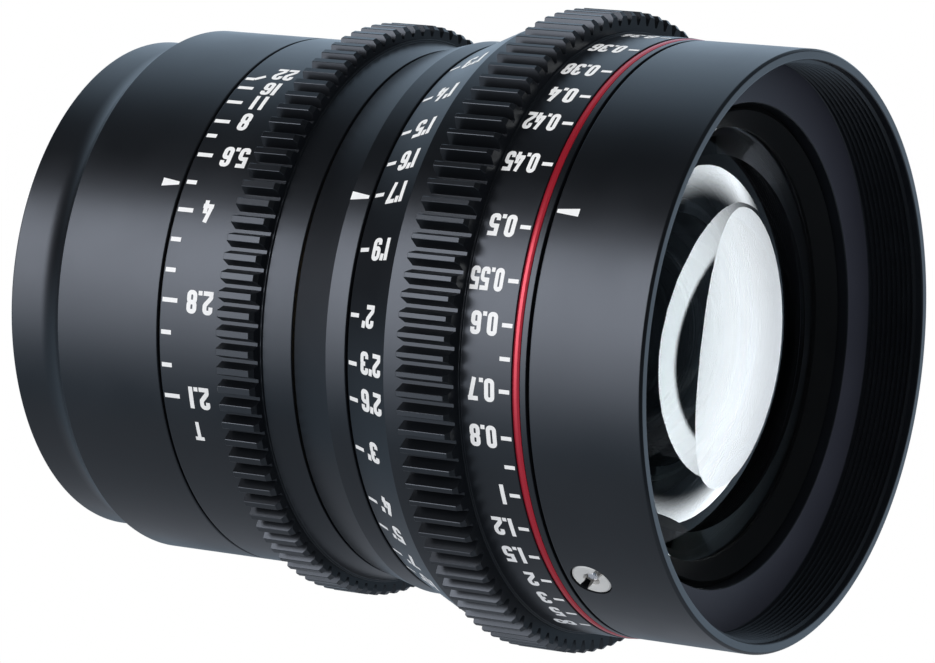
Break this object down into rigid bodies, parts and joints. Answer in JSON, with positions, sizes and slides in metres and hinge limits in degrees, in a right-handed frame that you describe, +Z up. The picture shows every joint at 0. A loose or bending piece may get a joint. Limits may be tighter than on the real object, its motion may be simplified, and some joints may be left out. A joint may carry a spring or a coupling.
{
  "type": "cinema prime lens",
  "caption": "Manual cinema prime lens with geared focus and iris rings, engraved scale bands, a red ring, a front filter thread and a rear bayonet mount.",
  "frame": {"origin": "centre of the mount flange's face, on the optical axis", "axes": "+Y along the optical axis to the rear, so the front looks along -Y; +Z up as in the picture"},
  "size_m": [0.0864, 0.1067, 0.0864],
  "materials": {
    "black_metal": "black anodised, semi-matte",
    "inner_metal": "matte black anodised",
    "steel": "fine turned",
    "brass": "turned",
    "red_anodised": "red anodised",
    "blade_steel": "blackened",
    "black_plastic": "matte",
    "glass": "polished and coated"
  },
  "bodies": {
    "barrel": {"front_barrel": "black_metal", "slotted_plug": "steel", "core_tube": "inner_metal", "mid_barrel": "black_metal", "rear_barrel": "black_metal", "mount_collar": "black_metal", "bayonet_mount": "steel", "mount_screws": "steel", "rear_baffle": "black_plastic", "helicoid_stop_ring": "brass", "helicoid_retainer": "brass", "guide_key": "steel", "focus_front_washer": "brass", "focus_rear_washer": "brass", "iris_front_washer": "brass", "iris_rear_washer": "brass"},
    "focus_ring": {"focus_ring": "black_metal", "red_ring": "red_anodised", "helicoid_sleeve": "brass", "focus_drive_pin": "steel"},
    "iris_ring": {"iris_ring": "black_metal", "iris_drive_pin": "steel"},
    "lens_group": {"front_cell": "inner_metal", "front_retaining_ring": "black_metal", "front_element": "glass", "front_spacer": "black_metal", "second_element": "glass", "second_spacer": "black_metal", "third_element": "glass", "third_spacer": "black_metal", "fourth_element": "glass", "iris_housing": "inner_metal", "rear_cell": "inner_metal", "fifth_element": "glass", "rear_spacer_1": "black_metal", "sixth_element": "glass", "rear_spacer_2": "black_metal", "seventh_element": "glass", "rear_spacer_3": "black_metal", "rear_element": "glass", "rear_retaining_ring": "black_metal"},
    "iris_cam_ring": {"iris_cam_ring": "steel"},
    "iris_blade_1": {"iris_blade_1": "blade_steel"},
    "iris_blade_2": {"iris_blade_2": "blade_steel"},
    "iris_blade_3": {"iris_blade_3": "blade_steel"},
    "iris_blade_4": {"iris_blade_4": "blade_steel"},
    "iris_blade_5": {"iris_blade_5": "blade_steel"},
    "iris_blade_6": {"iris_blade_6": "blade_steel"},
    "iris_blade_7": {"iris_blade_7": "blade_steel"},
    "iris_blade_8": {"iris_blade_8": "blade_steel"},
    "iris_blade_9": {"iris_blade_9": "blade_steel"}
  },
  "joints": [
    {"name": "focus_turn", "type": "hinge", "parent": "barrel", "child": "focus_ring", "pos_m": [0, -0.071, 0], "axis": [0, -1, 0], "range_deg": [-94.2, 59.5]},
    {"name": "iris_turn", "type": "hinge", "parent": "barrel", "child": "iris_ring", "pos_m": [0, -0.037, 0], "axis": [0, -1, 0], "range_deg": [-45.8, 31.4]},
    {"name": "focus_slide", "type": "slide", "parent": "barrel", "child": "lens_group", "axis": [0, -1, 0], "range_m": [-0.00073, 0.00047]},
    {"name": "iris_cam_turn", "type": "hinge", "parent": "lens_group", "child": "iris_cam_ring", "pos_m": [0, -0.0401, 0], "axis": [0, -1, 0], "range_deg": [-45.9, 31.5]},
    {"name": "blade_1_swing", "type": "hinge", "parent": "lens_group", "child": "iris_blade_1", "pos_m": [0, -0.036, 0.01649], "axis": [0, -1, 0], "range_deg": [-22.64, 15.56]},
    {"name": "blade_2_swing", "type": "hinge", "parent": "lens_group", "child": "iris_blade_2", "pos_m": [-0.0106, -0.036, 0.01263], "axis": [0, -1, 0], "range_deg": [-22.64, 15.56]},
    {"name": "blade_3_swing", "type": "hinge", "parent": "lens_group", "child": "iris_blade_3", "pos_m": [-0.01624, -0.036, 0.00286], "axis": [0, -1, 0], "range_deg": [-22.64, 15.56]},
    {"name": "blade_4_swing", "type": "hinge", "parent": "lens_group", "child": "iris_blade_4", "pos_m": [-0.01428, -0.036, -0.00825], "axis": [0, -1, 0], "range_deg": [-22.64, 15.56]},
    {"name": "blade_5_swing", "type": "hinge", "parent": "lens_group", "child": "iris_blade_5", "pos_m": [-0.00564, -0.036, -0.0155], "axis": [0, -1, 0], "range_deg": [-22.64, 15.56]},
    {"name": "blade_6_swing", "type": "hinge", "parent": "lens_group", "child": "iris_blade_6", "pos_m": [0.00564, -0.036, -0.0155], "axis": [0, -1, 0], "range_deg": [-22.64, 15.56]},
    {"name": "blade_7_swing", "type": "hinge", "parent": "lens_group", "child": "iris_blade_7", "pos_m": [0.01428, -0.036, -0.00825], "axis": [0, -1, 0], "range_deg": [-22.64, 15.56]},
    {"name": "blade_8_swing", "type": "hinge", "parent": "lens_group", "child": "iris_blade_8", "pos_m": [0.01624, -0.036, 0.00286], "axis": [0, -1, 0], "range_deg": [-22.64, 15.56]},
    {"name": "blade_9_swing", "type": "hinge", "parent": "lens_group", "child": "iris_blade_9", "pos_m": [0.0106, -0.036, 0.01263], "axis": [0, -1, 0], "range_deg": [-22.64, 15.56]}
  ],
  "couplings": [
    {"joint": "focus_slide", "follows": "focus_turn", "m_per_rad": 0.00044563},
    {"joint": "iris_cam_turn", "follows": "iris_turn", "ratio": 1},
    {"joint": "blade_1_swing", "follows": "iris_turn", "ratio": 0.49223},
    {"joint": "blade_2_swing", "follows": "iris_turn", "ratio": 0.49223},
    {"joint": "blade_3_swing", "follows": "iris_turn", "ratio": 0.49223},
    {"joint": "blade_4_swing", "follows": "iris_turn", "ratio": 0.49223},
    {"joint": "blade_5_swing", "follows": "iris_turn", "ratio": 0.49223},
    {"joint": "blade_6_swing", "follows": "iris_turn", "ratio": 0.49223},
    {"joint": "blade_7_swing", "follows": "iris_turn", "ratio": 0.49223},
    {"joint": "blade_8_swing", "follows": "iris_turn", "ratio": 0.49223},
    {"joint": "blade_9_swing", "follows": "iris_turn", "ratio": 0.49223}
  ]
}
